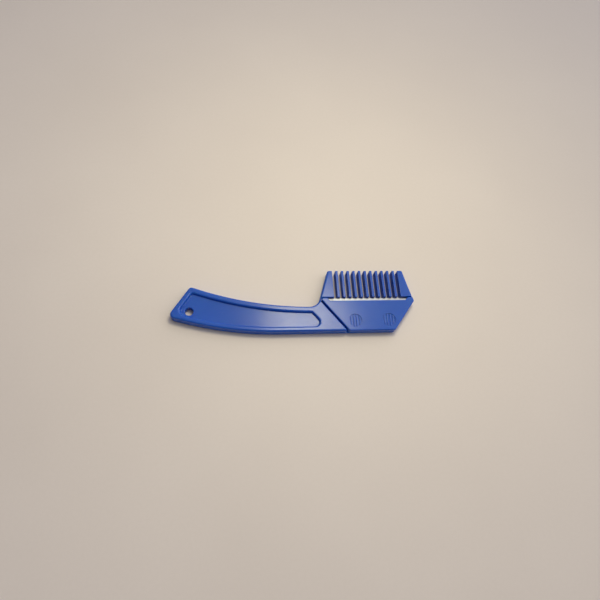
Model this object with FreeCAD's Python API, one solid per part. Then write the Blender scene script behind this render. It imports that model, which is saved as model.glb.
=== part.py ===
import FreeCAD, Part
import math
import os

# Dematting comb: a one-piece comb and handle, a trapezoid blade and a slide-off blade cover.
# Modelled in millimetres with X along the blade, Y towards the tooth tips and Z up from the back.
# While modelling, the origin is the middle of the blade line on the back plane; every part is
# moved at the end so that the origin is the bottom centre of the whole comb.

# ---- overall -------------------------------------------------------------------------------
THICKNESS = 6.8
PARTING_Z = 2.2               # mould parting line, and top of the plate under the cover
PARTING_STEP = 0.12           # the front half of the moulding is this much smaller all round
EDGE_ROUND = 1.3
SOFT_EDGE = 0.35

# ---- blade: a standard trapezoid utility blade ---------------------------------------------
BLADE_LENGTH = 61.5
BLADE_WIDTH = 19.0
BLADE_THICKNESS = 0.6
BLADE_END_ANGLE = 52.6        # between a slanted end and the cutting edge, degrees
BLADE_FRONT_Y = -0.15
BEVEL_WIDTH = 2.6
BEVEL_LAND = 0.06             # thickness left at the very edge
NOTCH_X = 9.25
NOTCH_RADIUS = 1.6
NOTCH_DEPTH = 3.0

# ---- comb ----------------------------------------------------------------------------------
TOOTH_COUNT = 11
TOOTH_PITCH = 4.35
TOOTH_WIDTH = 1.85
TIP_Y = 22.1
ROOT_Y = 0.15
GAP_FLOOR_Y = -0.95
TOOTH_EDGE_ROUND = 0.3
GUARD_TIP_LEFT_X = -28.5
GUARD_TIP_RIGHT_X = 29.1
GUARD_ROOT_Y = -3.3           # where the right-hand guard's flank meets the slanted side
GUARD_CORNER_ROUND = 1.6

# ---- handle --------------------------------------------------------------------------------
HANDLE_TOP_CENTRE = (-40.06, 238.15)
HANDLE_TOP_RADIUS = 245.1
HANDLE_LOW_CENTRE = (-65.35, 220.41)
HANDLE_LOW_RADIUS = 246.6
END_TOP_X = -129.0
END_LOW_X = -144.2
END_TOP_ROUND = 2.8
END_LOW_ROUND = 3.6
NECK_CORNER_X = -37.7         # where the left-hand guard would meet the handle without the round
NECK_ROUND = 8.5
LOWER_CORNER_ROUND = 2.0
RIM_WIDTH = 3.9
UPPER_RIM_EXTRA = 0.5         # the rim is this much wider above the recess
RECESS_DEPTH = 2.0
RECESS_FLOOR_ROUND = 0.5
RECESS_END_POINT = (-42.6, -11.1)
RECESS_END_ANGLE = 50.0
RECESS_CORNER_ROUNDS = (4.5, 2.0, 1.2, 3.5)   # corners taken from left to right
HOLE_CENTRE = (-129.24, -9.13)
HOLE_RADIUS = 3.0
BOSS_RADIUS = 5.5

# ---- cover and its seat --------------------------------------------------------------------
COVER_FRONT_Y = -2.55
COVER_FRONT_LEFT_X = -34.1
COVER_FRONT_RIGHT_X = 35.5
COVER_SIDE_ANGLE = 52.6       # of both slanted sides, which run along the blade's ends, degrees
COVER_EDGE_ROUND = 0.8
COVER_HEEL_ROUND = 2.5        # corner of the cover beside the neck, at the lower side
COVER_WALL = 1.7
COVER_CLEARANCE = 0.3
COVER_LIFT = 0.2              # gap above the plate and above the blade
NECK_GAP = 1.4
NECK_BACK = 5.0               # from the neck's wall back to where handle and head meet
BRIDGE_WIDTH = 1.1            # left between the cover's seat and the outline, beside the left guard
WINDOW_INSET = 0.45           # how far the cover reaches over each end of the blade
BED_TOP_Z = 5.0
BLADE_FIT = 0.15
RAIL_LIP = 1.2                # height of the lip that the cover hooks under
RAIL_DEPTH = 1.2
PAD_RADIUS = 5.0
PAD_DEPTH = 0.5
PAD_CENTRES = ((-11.3, -18.4), (13.8, -18.2))
PAD_RIBS = 4
PAD_RIB_PITCH = 2.15
PAD_RIB_WIDTH = 1.15
PAD_RIB_HEIGHT = 0.4

# ---- worked out from the above ---------------------------------------------------------------
LOWER_Y = HANDLE_LOW_CENTRE[1] - HANDLE_LOW_RADIUS
BLADE_SEAT_Z = BED_TOP_Z - BLADE_THICKNESS
SKIN_Z = BED_TOP_Z + COVER_LIFT
SIDE_COS = math.cos(math.radians(COVER_SIDE_ANGLE))
SIDE_SIN = math.sin(math.radians(COVER_SIDE_ANGLE))
SIDE_RUN = SIDE_COS / SIDE_SIN
EAR_Y = ROOT_Y - COVER_CLEARANCE
BLADE_RUN = 1 / math.tan(math.radians(BLADE_END_ANGLE))
CUT_MARGIN = 5.0              # how far cutting tools stand past what they cut
TOUCHING = 0.01               # points closer than this are the same point
QUARTER_SAG = 1 - math.cos(math.radians(45))   # from a quarter round's middle to its tangent, in radii


def vec(x, y, z=0.0):
    return FreeCAD.Vector(x, y, z)


def prism(points, bottom, top):
    """A straight-sided block on a closed polygon of (x, y) points."""
    corners = [vec(x, y, bottom) for x, y in points]
    face = Part.Face(Part.makePolygon(corners + corners[:1]))
    return face.extrude(vec(0, 0, top - bottom))


def disc(centre, radius, bottom, top):
    return Part.makeCylinder(radius, top - bottom, vec(centre[0], centre[1], bottom))


def near(a, b):
    return abs(a - b) < TOUCHING


def upright_edges(solid, x, y):
    """The vertical edges that stand at (x, y)."""
    found = []
    for edge in solid.Edges:
        ends = [vertex.Point for vertex in edge.Vertexes]
        if len(ends) == 2 and all(near(p.x, x) and near(p.y, y) for p in ends):
            found.append(edge)
    return found


def level_edges(solid, z, wanted):
    """The edges that lie at height z and whose middle point passes the test."""
    found = []
    for edge in solid.Edges:
        box = edge.BoundBox
        if near(box.ZMin, z) and near(box.ZMax, z):
            middle = edge.valueAt((edge.FirstParameter + edge.LastParameter) / 2)
            if wanted(middle.x, middle.y):
                found.append(edge)
    return found


def round_corners(solid, corners):
    """Round the vertical edges at each (x, y, radius)."""
    for x, y, radius in corners:
        solid = solid.makeFillet(radius, upright_edges(solid, x, y))
    return solid


def arc_point(centre, radius, x):
    """The point at x on the lower half of a circle."""
    return vec(x, centre[1] - math.sqrt(radius ** 2 - (x - centre[0]) ** 2))


def arc_edge(centre, radius, x_start, x_end):
    """An arc along the lower half of a circle between two x positions."""
    stations = (x_start, (x_start + x_end) / 2, x_end)
    return Part.Arc(*[arc_point(centre, radius, x) for x in stations]).toShape()


def left_side_x(y, outward=0.0):
    """x of the cover's left side at y, moved outward square to that side."""
    return COVER_FRONT_LEFT_X + (COVER_FRONT_Y - y) * SIDE_RUN - outward / SIDE_SIN


def right_side_x(y, outward=0.0):
    return COVER_FRONT_RIGHT_X - (COVER_FRONT_Y - y) * SIDE_RUN + outward / SIDE_SIN


# ---- outline of the whole comb --------------------------------------------------------------
def silhouette():
    """Flat face with the outline of handle, neck, comb and plate, and the list of its corners."""
    end_top = arc_point(HANDLE_TOP_CENTRE, HANDLE_TOP_RADIUS, END_TOP_X)
    end_low = arc_point(HANDLE_LOW_CENTRE, HANDLE_LOW_RADIUS, END_LOW_X)
    neck = arc_point(HANDLE_TOP_CENTRE, HANDLE_TOP_RADIUS, NECK_CORNER_X)
    tip_left = vec(GUARD_TIP_LEFT_X, TIP_Y)
    tip_right = vec(GUARD_TIP_RIGHT_X, TIP_Y)
    root_right = vec(right_side_x(GUARD_ROOT_Y), GUARD_ROOT_Y)
    low_right = vec(right_side_x(LOWER_Y), LOWER_Y)
    low_straight = vec(HANDLE_LOW_CENTRE[0], LOWER_Y)
    edges = [
        arc_edge(HANDLE_TOP_CENTRE, HANDLE_TOP_RADIUS, END_TOP_X, NECK_CORNER_X),
        Part.LineSegment(neck, tip_left).toShape(),
        Part.LineSegment(tip_left, tip_right).toShape(),
        Part.LineSegment(tip_right, root_right).toShape(),
        Part.LineSegment(root_right, low_right).toShape(),
        Part.LineSegment(low_right, low_straight).toShape(),
        arc_edge(HANDLE_LOW_CENTRE, HANDLE_LOW_RADIUS, HANDLE_LOW_CENTRE[0], END_LOW_X),
        Part.LineSegment(end_low, end_top).toShape(),
    ]
    corners = [
        (end_top, END_TOP_ROUND),
        (end_low, END_LOW_ROUND),
        (neck, NECK_ROUND),
        (tip_left, GUARD_CORNER_ROUND),
        (tip_right, GUARD_CORNER_ROUND),
        (root_right, GUARD_CORNER_ROUND),
        (low_right, LOWER_CORNER_ROUND),
    ]
    return Part.Face(Part.Wire(edges)), corners


def everywhere(x, y):
    return True


def comb_blank():
    """The whole moulding as a slab, with the parting step and rounded edges."""
    face, corners = silhouette()
    slab = face.extrude(vec(0, 0, THICKNESS))
    slab = round_corners(slab, [(point.x, point.y, radius) for point, radius in corners])
    outline = [f for f in slab.Faces if near(f.BoundBox.ZMax, 0.0)][0]
    back = outline.extrude(vec(0, 0, PARTING_Z))
    back = back.makeFillet(EDGE_ROUND, level_edges(back, 0.0, everywhere))
    inner = outline.makeOffset2D(-PARTING_STEP)
    inner.translate(vec(0, 0, PARTING_Z))
    front = inner.extrude(vec(0, 0, THICKNESS - PARTING_Z))
    front = front.makeFillet(EDGE_ROUND, level_edges(front, THICKNESS, everywhere))
    return back.fuse(front)


# ---- handle ---------------------------------------------------------------------------------
def recess_tool(rounded):
    """Cutter for the panel sunk in the front of the handle, with or without a round at its foot."""
    face, _ = silhouette()
    inner = face.makeOffset2D(-RIM_WIDTH)
    inner = inner.common(inner.translated(vec(0, -UPPER_RIM_EXTRA, 0)))
    reach = abs(END_LOW_X)
    angle = math.radians(RECESS_END_ANGLE)
    end_x, end_y = RECESS_END_POINT
    upper = (end_x - reach * math.cos(angle), end_y + reach * math.sin(angle))
    lower = (end_x + reach * math.cos(angle), end_y - reach * math.sin(angle))
    left = END_LOW_X - CUT_MARGIN
    handle_side = prism([upper, lower, (left, lower[1]), (left, upper[1])], -CUT_MARGIN, CUT_MARGIN)
    region = inner.common(handle_side).Faces[0]
    region.translate(vec(0, 0, THICKNESS - RECESS_DEPTH))
    tool = region.extrude(vec(0, 0, RECESS_DEPTH + CUT_MARGIN))
    upright = [e for e in tool.Edges if e.BoundBox.ZLength > RECESS_DEPTH]
    upright.sort(key=lambda e: e.BoundBox.Center.x)
    corner_edges = [upright[0], upright[1], upright[-2], upright[-1]]
    places = [e.BoundBox.Center for e in corner_edges]
    corners = [(p.x, p.y, r) for p, r in zip(places, RECESS_CORNER_ROUNDS)]
    tool = round_corners(tool, corners)
    if not rounded:
        return tool
    return tool.makeFillet(RECESS_FLOOR_ROUND, level_edges(tool, THICKNESS - RECESS_DEPTH, everywhere))


def round_rim(body, tool, z):
    """Round the edge at height z where a cutter left the body's face."""
    def on_tool(x, y):
        return tool.distToShape(Part.Vertex(x, y, z))[0] < TOUCHING
    outer_skin = level_edges(body, z, on_tool)
    return body.makeFillet(EDGE_ROUND, outer_skin)


def with_recesses(body):
    front = recess_tool(True)
    back = recess_tool(False).mirror(vec(0, 0, THICKNESS / 2), vec(0, 0, 1))
    body = body.cut(front).cut(back)
    body = round_rim(body, Part.Shell(front.Faces), THICKNESS)
    body = round_rim(body, Part.Shell(back.Faces), 0.0)
    boss = disc(HOLE_CENTRE, BOSS_RADIUS, 0.0, THICKNESS / 2)
    boss = boss.makeFillet(SOFT_EDGE, level_edges(boss, 0.0, everywhere))
    body = body.fuse(boss)
    body = body.cut(disc(HOLE_CENTRE, HOLE_RADIUS, -CUT_MARGIN, THICKNESS))

    def at_hole(x, y):
        return math.hypot(x - HOLE_CENTRE[0], y - HOLE_CENTRE[1]) < HOLE_RADIUS + TOUCHING
    rims = level_edges(body, 0.0, at_hole) + level_edges(body, THICKNESS - RECESS_DEPTH, at_hole)
    return body.makeFillet(SOFT_EDGE, rims)


# ---- comb -----------------------------------------------------------------------------------
def gap_tool():
    """Cutter for one gap between teeth, which also rounds the long edges and the tips beside it."""
    half = (TOOTH_PITCH - TOOTH_WIDTH) / 2
    r = TOOTH_EDGE_ROUND
    back = GAP_FLOOR_Y
    bend = r * QUARTER_SAG
    top = THICKNESS

    def line(x0, z0, x1, z1):
        return Part.LineSegment(vec(x0, back, z0), vec(x1, back, z1)).toShape()

    def corner(x0, z0, xm, zm, x1, z1):
        return Part.Arc(vec(x0, back, z0), vec(xm, back, zm), vec(x1, back, z1)).toShape()
    section = Part.Wire([
        line(-half - r, -CUT_MARGIN, half + r, -CUT_MARGIN),
        line(half + r, -CUT_MARGIN, half + r, 0),
        corner(half + r, 0, half + bend, bend, half, r),
        line(half, r, half, top - r),
        corner(half, top - r, half + bend, top - bend, half + r, top),
        line(half + r, top, half + r, top + CUT_MARGIN),
        line(half + r, top + CUT_MARGIN, -half - r, top + CUT_MARGIN),
        line(-half - r, top + CUT_MARGIN, -half - r, top),
        corner(-half - r, top, -half - bend, top - bend, -half, top - r),
        line(-half, top - r, -half, r),
        corner(-half, r, -half - bend, bend, -half - r, 0),
        line(-half - r, 0, -half - r, -CUT_MARGIN),
    ])
    slot = Part.Face(section).extrude(vec(0, TIP_Y + CUT_MARGIN - back, 0))
    return slot.fuse(tip_flare(half))


def tip_flare(half):
    """Cutter that widens a gap at the tips, so that each tooth ends in a half round."""
    r = TOOTH_WIDTH / 2
    start = TIP_Y - r
    bend = r * QUARTER_SAG
    far = TIP_Y + CUT_MARGIN
    low = -CUT_MARGIN

    def line(x0, y0, x1, y1):
        return Part.LineSegment(vec(x0, y0, low), vec(x1, y1, low)).toShape()

    def corner(side):
        first = vec(side * half, start, low)
        middle = vec(side * (half + bend), TIP_Y - bend, low)
        last = vec(side * (half + r), TIP_Y, low)
        return Part.Arc(first, middle, last).toShape()
    outline = Part.Wire([
        line(-half, start, half, start),
        corner(1),
        line(half + r, TIP_Y, half + r, far),
        line(half + r, far, -half - r, far),
        line(-half - r, far, -half - r, TIP_Y),
        corner(-1),
    ])
    return Part.Face(outline).extrude(vec(0, 0, THICKNESS + 2 * CUT_MARGIN))


def with_teeth(body):
    gap = gap_tool()
    first = -TOOTH_COUNT / 2 * TOOTH_PITCH
    for i in range(TOOTH_COUNT + 1):
        body = body.cut(gap.translated(vec(first + i * TOOTH_PITCH, 0, 0)))
    return body


# ---- seat for the blade and the cover --------------------------------------------------------
def band(left, right, front, low, bottom, top):
    """Block between two slanted sides, given as functions of y, and two straight y limits."""
    points = [(left(front), front), (right(front), front), (right(low), low), (left(low), low)]
    return prism(points, bottom, top)


def beyond_right(y):
    return COVER_FRONT_RIGHT_X + CUT_MARGIN


def neck_wall(y):
    return left_side_x(y, NECK_GAP)


def beside_guard(inset):
    """Block that holds all there is to the right of the left guard's flank, moved in by inset."""
    neck = arc_point(HANDLE_TOP_CENTRE, HANDLE_TOP_RADIUS, NECK_CORNER_X)
    slope = (GUARD_TIP_LEFT_X - neck.x) / (TIP_Y - neck.y)
    shift = inset * math.hypot(1, slope)
    low = LOWER_Y - 2 * CUT_MARGIN

    def flank(y):
        return GUARD_TIP_LEFT_X - (TIP_Y - y) * slope + shift
    return band(flank, beyond_right, TIP_Y, low, -CUT_MARGIN, THICKNESS + CUT_MARGIN)


def cover_space():
    """All that is cut away for the cover, down to the plate, and the open strip along the blade."""
    front = COVER_FRONT_Y + COVER_CLEARANCE
    low = LOWER_Y - CUT_MARGIN
    top = THICKNESS + CUT_MARGIN
    under_cover = band(neck_wall, beyond_right, front, low, PARTING_Z, top)
    strip = band(neck_wall, beyond_right, ROOT_Y, front, BED_TOP_Z, top)
    return under_cover.fuse(strip).common(beside_guard(BRIDGE_WIDTH))


def bed():
    """Raised bed with a lip along its lower and right-hand sides for the cover to hook under."""
    front = COVER_FRONT_Y + 2 * COVER_CLEARANCE
    wall = COVER_WALL + COVER_CLEARANCE
    low = LOWER_Y + PARTING_STEP + wall

    def left(y):
        return left_side_x(y, -COVER_CLEARANCE)

    def lip(y):
        return right_side_x(y, -wall)

    def root(y):
        return right_side_x(y, -wall - RAIL_DEPTH)
    upper = band(left, lip, front, low, BED_TOP_Z - RAIL_LIP, BED_TOP_Z)
    lower = band(left, root, front, low + RAIL_DEPTH, PARTING_Z, BED_TOP_Z - RAIL_LIP)
    return upper.fuse(lower)


def blade_back_y():
    return BLADE_FRONT_Y - BLADE_WIDTH


def blade_outline(grow=0.0):
    """Corners of the trapezoid blade, grown outwards except along the cutting edge."""
    spread = grow / math.sin(math.radians(BLADE_END_ANGLE))
    half_front = BLADE_LENGTH / 2 + spread
    half_back = half_front - (BLADE_WIDTH + grow) * BLADE_RUN
    back = blade_back_y() - grow
    return [(-half_front, BLADE_FRONT_Y), (half_front, BLADE_FRONT_Y),
            (half_back, back), (-half_back, back)]


def notch_centres():
    y = blade_back_y() + NOTCH_DEPTH - NOTCH_RADIUS
    return [(-NOTCH_X, y), (NOTCH_X, y)]


def with_seat(body):
    body = body.cut(cover_space())

    def beside_cover(x, y):
        return near(x, neck_wall(y)) or near(y, ROOT_Y)
    body = body.makeFillet(SOFT_EDGE, level_edges(body, THICKNESS, beside_cover))
    body = body.fuse(bed())
    around = blade_outline(BLADE_FIT)
    front_left, front_right = around[0], around[1]
    around = [(front_left[0], ROOT_Y), (front_right[0], ROOT_Y)] + around[1:] + [front_left]
    body = body.cut(prism(around, BLADE_SEAT_Z, BED_TOP_Z + CUT_MARGIN))
    for centre in notch_centres():
        body = body.fuse(disc(centre, NOTCH_RADIUS - COVER_LIFT, BLADE_SEAT_Z, BED_TOP_Z))
    return body


def moulding():
    """Handle and comb head, which are one moulding, as two solids that meet inside the neck."""
    body = with_recesses(comb_blank())
    body = with_seat(body)
    body = with_teeth(body)

    def parting(y):
        return left_side_x(y, NECK_GAP + NECK_BACK)
    top = TIP_Y + CUT_MARGIN
    head_side = band(parting, beyond_right, top, LOWER_Y - CUT_MARGIN, -CUT_MARGIN, THICKNESS + CUT_MARGIN)
    return body.cut(head_side), body.common(head_side)


# ---- blade -----------------------------------------------------------------------------------
def blade():
    half = BLADE_LENGTH / 2
    seat = BLADE_SEAT_Z
    middle = seat + BLADE_THICKNESS / 2
    front = BLADE_FRONT_Y
    shoulder = front - BEVEL_WIDTH
    back = blade_back_y()
    section = [(back, seat), (shoulder, seat), (front, middle - BEVEL_LAND / 2),
               (front, middle + BEVEL_LAND / 2), (shoulder, seat + BLADE_THICKNESS),
               (back, seat + BLADE_THICKNESS)]
    corners = [vec(-half, y, z) for y, z in section]
    bar = Part.Face(Part.makePolygon(corners + corners[:1])).extrude(vec(BLADE_LENGTH, 0, 0))
    low = seat - CUT_MARGIN
    high = seat + CUT_MARGIN
    plan = prism(blade_outline(), low, high)
    shape = bar.common(plan)
    for x, y in notch_centres():
        left, right = x - NOTCH_RADIUS, x + NOTCH_RADIUS
        mouth = [(left, y), (right, y), (right, back - CUT_MARGIN), (left, back - CUT_MARGIN)]
        shape = shape.cut(disc((x, y), NOTCH_RADIUS, low, high)).cut(prism(mouth, low, high))
    return shape


# ---- cover -----------------------------------------------------------------------------------
def window_x(y):
    """Half the length of blade that shows at y, between the two ears of the cover."""
    return BLADE_LENGTH / 2 - WINDOW_INSET - (BLADE_FRONT_Y - y) * BLADE_RUN


def guard_x(y):
    """x of the right-hand guard's flank at y, which the cover's ear carries on."""
    root_x = right_side_x(GUARD_ROOT_Y)
    slope = (root_x - GUARD_TIP_RIGHT_X) / (TIP_Y - GUARD_ROOT_Y)
    return root_x - (y - GUARD_ROOT_Y) * slope


def ears():
    """The two ends of the cover that reach past the ends of the blade, up to the roots of the guards."""
    def window_left(y):
        return -window_x(y)
    left = band(left_side_x, window_left, EAR_Y, GUARD_ROOT_Y, SKIN_Z, THICKNESS)
    right = band(window_x, guard_x, EAR_Y, GUARD_ROOT_Y, SKIN_Z, THICKNESS)
    return left.common(beside_guard(BRIDGE_WIDTH + COVER_CLEARANCE)).fuse(right)


def beyond_left(y):
    return left_side_x(y, CUT_MARGIN)


def cover_blank():
    """The cover before it is hollowed: trapezoid and ears, with corners and top edges rounded."""
    low = LOWER_Y + PARTING_STEP
    bottom = PARTING_Z + COVER_LIFT
    shape = band(left_side_x, right_side_x, COVER_FRONT_Y, low, bottom, THICKNESS)
    shape = shape.common(band(beyond_left, guard_x, EAR_Y, low, bottom, THICKNESS))
    corners = [
        (left_side_x(low), low, COVER_HEEL_ROUND),
        (right_side_x(low), low, LOWER_CORNER_ROUND),
        (right_side_x(GUARD_ROOT_Y), GUARD_ROOT_Y, GUARD_CORNER_ROUND),
    ]
    shape = shape.fuse(ears()).removeSplitter()
    shape = round_corners(shape, corners)
    return shape.makeFillet(COVER_EDGE_ROUND, level_edges(shape, THICKNESS, everywhere))


def channel(wall, bottom, top):
    """Room inside the cover, open to the left and to the front."""
    def inner_right(y):
        return right_side_x(y, -wall)
    low = LOWER_Y + PARTING_STEP + wall
    return band(beyond_left, inner_right, COVER_FRONT_Y + CUT_MARGIN, low, bottom, top)


def with_thumb_pad(shape, centre):
    """Sink a round pad into the cover's top, with upright ribs across it."""
    floor = THICKNESS - PAD_DEPTH
    shape = shape.cut(disc(centre, PAD_RADIUS, floor, THICKNESS + CUT_MARGIN))
    inside = disc(centre, PAD_RADIUS - COVER_CLEARANCE, floor - PAD_RIB_WIDTH, THICKNESS)
    radius = PAD_RIB_WIDTH / 2
    first = centre[0] - (PAD_RIBS - 1) / 2 * PAD_RIB_PITCH
    for i in range(PAD_RIBS):
        start = vec(first + i * PAD_RIB_PITCH, centre[1] - PAD_RADIUS, floor + PAD_RIB_HEIGHT - radius)
        rib = Part.makeCylinder(radius, 2 * PAD_RADIUS, start, vec(0, 1, 0))
        shape = shape.fuse(rib.common(inside))
    return shape


def blade_cover():
    shape = cover_blank()
    hook_top = BED_TOP_Z - RAIL_LIP - COVER_LIFT
    shape = shape.cut(channel(COVER_WALL, hook_top, SKIN_Z))
    shape = shape.cut(channel(COVER_WALL + RAIL_DEPTH, 0.0, hook_top))
    for centre in PAD_CENTRES:
        shape = with_thumb_pad(shape, centre)
    return shape


# ---- write the parts -------------------------------------------------------------------------
def main():
    handle, comb_head = moulding()
    parts = {
        "handle": handle,
        "comb_head": comb_head,
        "blade": blade(),
        "blade_cover": blade_cover(),
    }
    box = Part.makeCompound(list(parts.values())).optimalBoundingBox(False)
    home = vec(-(box.XMin + box.XMax) / 2, -(box.YMin + box.YMax) / 2, -box.ZMin)
    os.makedirs("parts", exist_ok=True)
    for name, shape in parts.items():
        shape = shape.removeSplitter()
        shape.translate(home)
        print(name, "solids", len(shape.Solids), "valid", shape.isValid(), "volume", round(shape.Volume, 1))
        shape.exportStep(os.path.join("parts", name + ".step"))
    print("size", round(box.XLength, 2), round(box.YLength, 2), round(box.ZLength, 2))
    print("moved by", round(home.x, 3), round(home.y, 3), round(home.z, 3))


main()
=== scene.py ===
import math
import bmesh
import bpy
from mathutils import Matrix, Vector
from mathutils.kdtree import KDTree


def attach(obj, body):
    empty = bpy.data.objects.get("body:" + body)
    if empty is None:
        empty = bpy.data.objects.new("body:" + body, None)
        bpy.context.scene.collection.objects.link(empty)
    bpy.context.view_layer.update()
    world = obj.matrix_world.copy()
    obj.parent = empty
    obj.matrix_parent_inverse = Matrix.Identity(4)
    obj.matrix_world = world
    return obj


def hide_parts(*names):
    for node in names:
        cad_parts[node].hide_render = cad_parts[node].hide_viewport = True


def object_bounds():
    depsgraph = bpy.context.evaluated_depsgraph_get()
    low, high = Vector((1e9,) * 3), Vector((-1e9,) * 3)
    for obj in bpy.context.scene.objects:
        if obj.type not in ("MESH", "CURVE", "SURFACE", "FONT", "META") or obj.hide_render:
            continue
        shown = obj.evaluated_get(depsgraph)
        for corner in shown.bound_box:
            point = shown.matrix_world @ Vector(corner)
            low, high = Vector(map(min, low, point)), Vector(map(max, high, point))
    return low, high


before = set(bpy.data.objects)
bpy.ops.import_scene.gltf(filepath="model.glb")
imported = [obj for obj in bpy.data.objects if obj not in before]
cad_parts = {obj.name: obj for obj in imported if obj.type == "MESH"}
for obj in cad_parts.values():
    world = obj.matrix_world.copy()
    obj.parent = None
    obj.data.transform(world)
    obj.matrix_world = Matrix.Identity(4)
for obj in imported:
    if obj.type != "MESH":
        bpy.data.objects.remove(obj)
cad_low, cad_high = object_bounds()

MM = 0.001

# Meshes
WELD = 0.002 * MM                   # corners nearer to each other than this are one corner
SHARP = math.radians(32.0)          # edges that bend more than this stay crisp
NORMAL_WEIGHT = 60                  # how much the larger faces set the shading of the rounds
EDGE_SAMPLES = 6                    # samples of the shader that finds worn edges

# Linear colours
BLUE = (0.012, 0.092, 0.49, 1)
BLUE_CLOUD = (0.015, 0.104, 0.53, 1)
BLUE_FLOW = (0.022, 0.112, 0.49, 1)
BLUE_GRAIN = (0.009, 0.066, 0.35, 1)
BLUE_WORN = (0.11, 0.22, 0.56, 1)
BLUE_SCRATCH = (0.13, 0.24, 0.58, 1)
STEEL_DARK = (0.25, 0.27, 0.31, 1)
STEEL_PALE = (0.37, 0.395, 0.45, 1)
STEEL_CROSS = (0.46, 0.48, 0.51, 1)
STEEL_STAIN = (0.22, 0.22, 0.22, 1)
TABLE_DULL = (0.75, 0.675, 0.63, 1)
TABLE_PALE = (0.79, 0.715, 0.67, 1)
TABLE_GRAIN = (0.64, 0.58, 0.53, 1)

# The table reaches this far to each side, and lies just below the comb so that no faces coincide
TABLE_REACH = 3.0
TABLE_GAP = 0.05 * MM

# The camera stands above the comb and to its lower left
CAMERA_PLACE = (-0.0413, -0.1449, 0.3352)
CAMERA_TURN = (24.087, -6.220, -3.379)          # degrees about X, Y and Z
CAMERA_LENS = 30.0                              # millimetres
CAMERA_SENSOR = 36.0                            # millimetres
CAMERA_SHIFT_Y = -0.00083
CAMERA_NEAR = 0.01
CAMERA_FAR = 20.0


# ---- node helpers -----------------------------------------------------------------------------
class Graph:
    """A material's node tree, with short ways to add and join nodes."""

    def __init__(self, name):
        self.material = bpy.data.materials.new(name)
        self.material.use_nodes = True
        self.nodes = self.material.node_tree.nodes
        self.links = self.material.node_tree.links
        self.nodes.clear()
        self.shader = self.add("ShaderNodeBsdfPrincipled")
        output = self.add("ShaderNodeOutputMaterial")
        self.links.new(self.shader.outputs[0], output.inputs[0])
        self.place = self.add("ShaderNodeTexCoord").outputs["Object"]

    def add(self, kind, **settings):
        node = self.nodes.new(kind)
        for key, value in settings.items():
            setattr(node, key, value)
        return node

    def feed(self, socket, value):
        """Join a node's output to the socket, or set the socket to a plain value."""
        if isinstance(value, bpy.types.NodeSocket):
            self.links.new(value, socket)
        else:
            socket.default_value = value

    def stretched(self, scale, turn=(0.0, 0.0, 0.0)):
        """Object coordinates, turned by angles in degrees and then scaled along each axis."""
        node = self.add("ShaderNodeMapping")
        self.feed(node.inputs["Vector"], self.place)
        node.inputs["Rotation"].default_value = [math.radians(a) for a in turn]
        node.inputs["Scale"].default_value = scale
        return node.outputs[0]

    def noise(self, scale, detail=2.0, roughness=0.5, vector=None, distortion=0.0):
        """Soft noise around 0.5, with about `scale` spots to a metre."""
        node = self.add("ShaderNodeTexNoise")
        self.feed(node.inputs["Vector"], vector or self.place)
        node.inputs["Scale"].default_value = scale
        node.inputs["Detail"].default_value = detail
        node.inputs["Roughness"].default_value = roughness
        node.inputs["Distortion"].default_value = distortion
        return node.outputs["Fac"]

    def remap(self, value, low, high, out_low=0.0, out_high=1.0):
        """Bring low..high to out_low..out_high, held at both ends."""
        node = self.add("ShaderNodeMapRange")
        for socket, number in zip(node.inputs, (value, low, high, out_low, out_high)):
            self.feed(socket, number)
        return node.outputs[0]

    def calculate(self, operation, a, b=0.0):
        """The result of a Math node. An operation with one input leaves b unused."""
        node = self.add("ShaderNodeMath", operation=operation)
        self.feed(node.inputs[0], a)
        self.feed(node.inputs[1], b)
        return node.outputs[0]

    def mix(self, factor, a, b):
        """Colour a where the factor is 0, and colour b where it is 1."""
        node = self.add("ShaderNodeMix", data_type="RGBA")
        self.feed(node.inputs["Factor"], factor)
        self.feed(node.inputs[6], a)
        self.feed(node.inputs[7], b)
        return node.outputs[2]

    def bump(self, height, distance, strength, below=None):
        """A normal that follows the height, on top of the bump below it."""
        node = self.add("ShaderNodeBump")
        node.inputs["Strength"].default_value = strength
        node.inputs["Distance"].default_value = distance
        self.feed(node.inputs["Height"], height)
        if below is not None:
            self.feed(node.inputs["Normal"], below)
        return node.outputs[0]

    def sideways(self):
        """1 where the surface faces along X, to either side, and 0 where it faces up or along Y."""
        parts = self.add("ShaderNodeSeparateXYZ")
        self.feed(parts.inputs[0], self.add("ShaderNodeTexCoord").outputs["Normal"])
        return self.calculate("ABSOLUTE", parts.outputs[0])

    def edge_mask(self, radius, low, high):
        """1 near corners and edges, 0 on open faces.

        Near an edge the rounded normal leans away from the true one. The mask is 0 where the
        cosine of that angle is high or more, and 1 where it is low or less.
        """
        bevel = self.add("ShaderNodeBevel", samples=EDGE_SAMPLES)
        bevel.inputs["Radius"].default_value = radius
        true_normal = self.add("ShaderNodeNewGeometry").outputs["Normal"]
        dot = self.add("ShaderNodeVectorMath", operation="DOT_PRODUCT")
        self.feed(dot.inputs[0], bevel.outputs[0])
        self.feed(dot.inputs[1], true_normal)
        return self.remap(dot.outputs["Value"], high, low)


def scratches(g, turn, length, width, low, fade=0.05):
    """Thin streaks: 1 on a scratch, 0 elsewhere. A higher low makes them fewer."""
    streaks = g.stretched((1 / length, 1 / width, 1 / width), turn)
    lines = g.noise(1.0, detail=2.0, roughness=0.6, vector=streaks)
    return g.remap(lines, low, low + fade)


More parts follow.
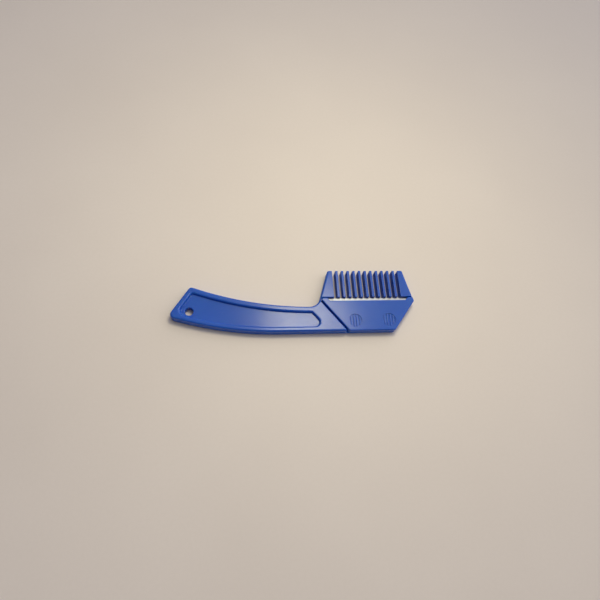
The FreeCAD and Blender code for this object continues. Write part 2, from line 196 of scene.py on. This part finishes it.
# ---- materials --------------------------------------------------------------------------------
def blue_plastic():
    """Satin moulded plastic: colour flow, fine grain, sink marks, worn edges and scratches."""
    g = Graph("moulded_blue")
    clouds = g.noise(35.0, detail=3.0, roughness=0.55)
    grain = g.noise(900.0, detail=2.0, roughness=0.6)
    streaks = g.stretched((14.0, 70.0, 40.0), turn=(0, 0, -8))
    flow = g.noise(1.0, detail=3.0, roughness=0.5, vector=streaks, distortion=0.6)
    colour = g.mix(g.remap(clouds, 0.35, 0.65), BLUE, BLUE_CLOUD)
    colour = g.mix(g.remap(flow, 0.5, 0.78, out_high=0.25), colour, BLUE_FLOW)
    colour = g.mix(g.remap(grain, 0.3, 0.7, out_high=0.12), colour, BLUE_GRAIN)

    edges = g.edge_mask(0.5 * MM, 0.80, 0.97)
    worn = g.calculate("MULTIPLY", edges, g.remap(g.noise(260.0, detail=3.0), 0.38, 0.7))
    colour = g.mix(g.calculate("MULTIPLY", worn, 0.30), colour, BLUE_WORN)
    marks = g.calculate(
        "MAXIMUM",
        scratches(g, turn=(0, 0, 24), length=16 * MM, width=0.22 * MM, low=0.70),
        scratches(g, turn=(0, 0, -38), length=11 * MM, width=0.18 * MM, low=0.72),
    )
    colour = g.mix(g.calculate("MULTIPLY", marks, 0.16), colour, BLUE_SCRATCH)
    g.feed(g.shader.inputs["Base Color"], colour)

    satin = g.noise(55.0, detail=4.0, roughness=0.6)
    rough = g.remap(satin, 0.3, 0.7, out_low=0.19, out_high=0.25)
    rough = g.calculate("ADD", rough, g.calculate("MULTIPLY", marks, 0.14))
    rough = g.calculate("ADD", rough, g.calculate("MULTIPLY", worn, 0.08))
    tooth_walls = g.remap(g.sideways(), 0.6, 0.95)      # these aren't polished
    rough = g.calculate("ADD", rough, g.calculate("MULTIPLY", tooth_walls, 0.38))
    g.feed(g.shader.inputs["Roughness"], rough)

    skin = g.bump(g.noise(1300.0, detail=2.0, roughness=0.5), distance=0.012 * MM, strength=0.35)
    sink_marks = g.noise(60.0, detail=1.0, roughness=0.4)
    sink = g.bump(sink_marks, distance=0.08 * MM, strength=0.20, below=skin)
    cut = g.bump(marks, distance=-0.010 * MM, strength=0.5, below=sink)
    g.feed(g.shader.inputs["Normal"], cut)

    g.shader.inputs["IOR"].default_value = 1.40
    g.shader.inputs["Subsurface Weight"].default_value = 0.6
    g.shader.inputs["Subsurface Radius"].default_value = (0.1, 0.4, 1.0)
    g.shader.inputs["Subsurface Scale"].default_value = 2.0 * MM
    return g.material


def blade_steel():
    """Ground steel: fine lines along the blade, fainter ones across it, and slight staining."""
    g = Graph("ground_steel")
    lengthwise = g.stretched((60.0, 5200.0, 900.0))
    along = g.noise(1.0, detail=3.0, roughness=0.65, vector=lengthwise)
    crosswise = g.stretched((4200.0, 90.0, 400.0), turn=(0, 0, 12))
    across = g.noise(1.0, detail=3.0, roughness=0.65, vector=crosswise)
    stain = g.noise(120.0, detail=4.0, roughness=0.6)
    colour = g.mix(g.remap(along, 0.3, 0.7), STEEL_DARK, STEEL_PALE)
    colour = g.mix(g.remap(across, 0.45, 0.75, out_high=0.5), colour, STEEL_CROSS)
    colour = g.mix(g.remap(stain, 0.58, 0.8, out_high=0.35), colour, STEEL_STAIN)
    g.feed(g.shader.inputs["Base Color"], colour)
    g.shader.inputs["Metallic"].default_value = 1.0

    rough = g.remap(along, 0.3, 0.7, out_low=0.32, out_high=0.46)
    rough = g.calculate("ADD", rough, g.remap(stain, 0.55, 0.8, out_high=0.15))
    g.feed(g.shader.inputs["Roughness"], rough)
    lines = g.bump(along, distance=0.006 * MM, strength=0.5)
    cross_lines = g.bump(across, distance=0.004 * MM, strength=0.4, below=lines)
    g.feed(g.shader.inputs["Normal"], cross_lines)
    return g.material


def table_top():
    """A plain pale table with a faint grain."""
    g = Graph("pale_table")
    soft = g.noise(7.0, detail=3.0, roughness=0.5)
    grain = g.noise(420.0, detail=3.0, roughness=0.6)
    colour = g.mix(g.remap(soft, 0.3, 0.7), TABLE_DULL, TABLE_PALE)
    colour = g.mix(g.remap(grain, 0.3, 0.7, out_high=0.10), colour, TABLE_GRAIN)
    g.feed(g.shader.inputs["Base Color"], colour)
    g.feed(g.shader.inputs["Roughness"], g.remap(soft, 0.3, 0.7, out_low=0.55, out_high=0.65))
    g.feed(g.shader.inputs["Normal"], g.bump(grain, distance=0.02 * MM, strength=0.2))
    return g.material


# ---- pieces -----------------------------------------------------------------------------------
def node_mesh(node):
    """A copy of the node's shape as a bmesh, welded."""
    bm = bmesh.new()
    bm.from_mesh(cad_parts[node].data)
    bmesh.ops.remove_doubles(bm, verts=bm.verts, dist=WELD)
    bmesh.ops.dissolve_degenerate(bm, edges=bm.edges, dist=WELD)
    return bm


def drop_meeting_faces(bm, other):
    """Delete the faces of bm whose corners all lie on corners of the other mesh."""
    tree = KDTree(len(other.verts))
    for index, vert in enumerate(other.verts):
        tree.insert(vert.co, index)
    tree.balance()
    shared = set()
    for vert in bm.verts:
        _, _, distance = tree.find(vert.co)
        if distance < WELD:
            shared.add(vert)
    inside = [face for face in bm.faces if all(vert in shared for vert in face.verts)]
    bmesh.ops.delete(bm, geom=inside, context="FACES")


def one_skin(nodes):
    """The shape of one node, or of two that are one moulding, without the faces where they meet."""
    parts = [node_mesh(node) for node in nodes]
    if len(parts) == 2:
        whole_first = parts[0].copy()
        drop_meeting_faces(parts[0], parts[1])
        drop_meeting_faces(parts[1], whole_first)
        whole_first.free()
    whole = bmesh.new()
    for part in parts:
        mesh = bpy.data.meshes.new("part")
        part.to_mesh(mesh)
        part.free()
        whole.from_mesh(mesh)
        bpy.data.meshes.remove(mesh)
    bmesh.ops.remove_doubles(whole, verts=whole.verts, dist=WELD)
    return whole


def finished_piece(nodes, name, body, material):
    """A piece with smooth rounds and crisp corners, which stands in for the nodes."""
    bm = one_skin(nodes)
    for face in bm.faces:
        face.smooth = True
    for edge in bm.edges:
        edge.smooth = len(edge.link_faces) == 2 and edge.calc_face_angle() < SHARP
    mesh = bpy.data.meshes.new(name)
    bm.to_mesh(mesh)
    bm.free()
    mesh.materials.append(material)
    piece = bpy.data.objects.new(name, mesh)
    bpy.context.scene.collection.objects.link(piece)
    weighted = piece.modifiers.new("normals", "WEIGHTED_NORMAL")
    weighted.keep_sharp = True
    weighted.weight = NORMAL_WEIGHT
    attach(piece, body)
    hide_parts(*nodes)


plastic = blue_plastic()
finished_piece(["handle", "comb_head"], "comb_moulding", "comb", plastic)
finished_piece(["blade_cover"], "cover_moulding", "cover", plastic)
finished_piece(["blade"], "blade_strip", "comb", blade_steel())


# ---- floor, light and camera --------------------------------------------------------------------
def add_floor():
    mesh = bpy.data.meshes.new("table_top")
    reach = TABLE_REACH
    corners = [(-reach, -reach, 0), (reach, -reach, 0), (reach, reach, 0), (-reach, reach, 0)]
    mesh.from_pydata(corners, [], [(0, 1, 2, 3)])
    mesh.materials.append(table_top())
    floor = bpy.data.objects.new("table_top", mesh)
    floor.location.z = cad_low.z - TABLE_GAP
    bpy.context.scene.collection.objects.link(floor)


def add_area_light(name, place, target, size, power, colour):
    """A round lamp at a place, turned to face the target."""
    data = bpy.data.lights.new(name, "AREA")
    data.shape = "DISK"
    data.size = size
    data.energy = power
    data.color = colour
    light = bpy.data.objects.new(name, data)
    light.location = place
    aim = Vector(target) - Vector(place)
    light.rotation_euler = aim.to_track_quat("-Z", "Y").to_euler()
    bpy.context.scene.collection.objects.link(light)


def add_sky(towards, edge, dim, bright, glow, glow_top, colour):
    """A soft room: bright in one direction, dim all round it, and paler down to the horizon.

    edge is the cosine of the angle from the bright direction at which the room is dim again.
    glow is the strength at the horizon, and glow_top the sine of the height at which it ends.
    """
    world = bpy.data.worlds.new("room")
    world.use_nodes = True
    nodes, links = world.node_tree.nodes, world.node_tree.links

    def ramp(value, low, high, out_low, out_high):
        node = nodes.new("ShaderNodeMapRange")
        node.interpolation_type = "SMOOTHSTEP"
        links.new(value, node.inputs["Value"])
        for socket, number in zip(node.inputs[1:5], (low, high, out_low, out_high)):
            socket.default_value = number
        return node.outputs[0]

    direction = nodes.new("ShaderNodeTexCoord").outputs["Generated"]
    nearness = nodes.new("ShaderNodeVectorMath")
    nearness.operation = "DOT_PRODUCT"
    links.new(direction, nearness.inputs[0])
    nearness.inputs[1].default_value = Vector(towards).normalized()
    bright_side = ramp(nearness.outputs["Value"], edge, 1.0, dim, bright)

    height = nodes.new("ShaderNodeSeparateXYZ")
    links.new(direction, height.inputs[0])
    horizon = ramp(height.outputs[2], 0.0, glow_top, glow, 0.0)

    strength = nodes.new("ShaderNodeMath")
    strength.operation = "MAXIMUM"
    links.new(bright_side, strength.inputs[0])
    links.new(horizon, strength.inputs[1])
    background = nodes["Background"]
    background.inputs["Color"].default_value = colour
    links.new(strength.outputs[0], background.inputs["Strength"])
    bpy.context.scene.world = world


def add_camera():
    data = bpy.data.cameras.new("camera")
    data.sensor_width = CAMERA_SENSOR
    data.lens = CAMERA_LENS
    data.clip_start = CAMERA_NEAR
    data.clip_end = CAMERA_FAR
    data.shift_y = CAMERA_SHIFT_Y
    camera = bpy.data.objects.new("camera", data)
    camera.location = CAMERA_PLACE
    camera.rotation_euler = [math.radians(angle) for angle in CAMERA_TURN]
    bpy.context.scene.collection.objects.link(camera)
    bpy.context.scene.camera = camera


add_floor()
add_area_light(
    "overhead_lamp",
    place=(0.055, 0.117, 0.352),
    target=(0.006, -0.017, 0.0),
    size=0.115,
    power=0.53,
    colour=(1.0, 0.92, 0.60),
)
add_sky(
    towards=(0.6, 0.45, 0.66),
    edge=0.4,
    dim=0.14,
    bright=1.34,
    glow=0.6,
    glow_top=0.4,
    colour=(0.99, 0.97, 0.99, 1),
)
add_camera()
bpy.context.scene.view_settings.view_transform = "Standard"
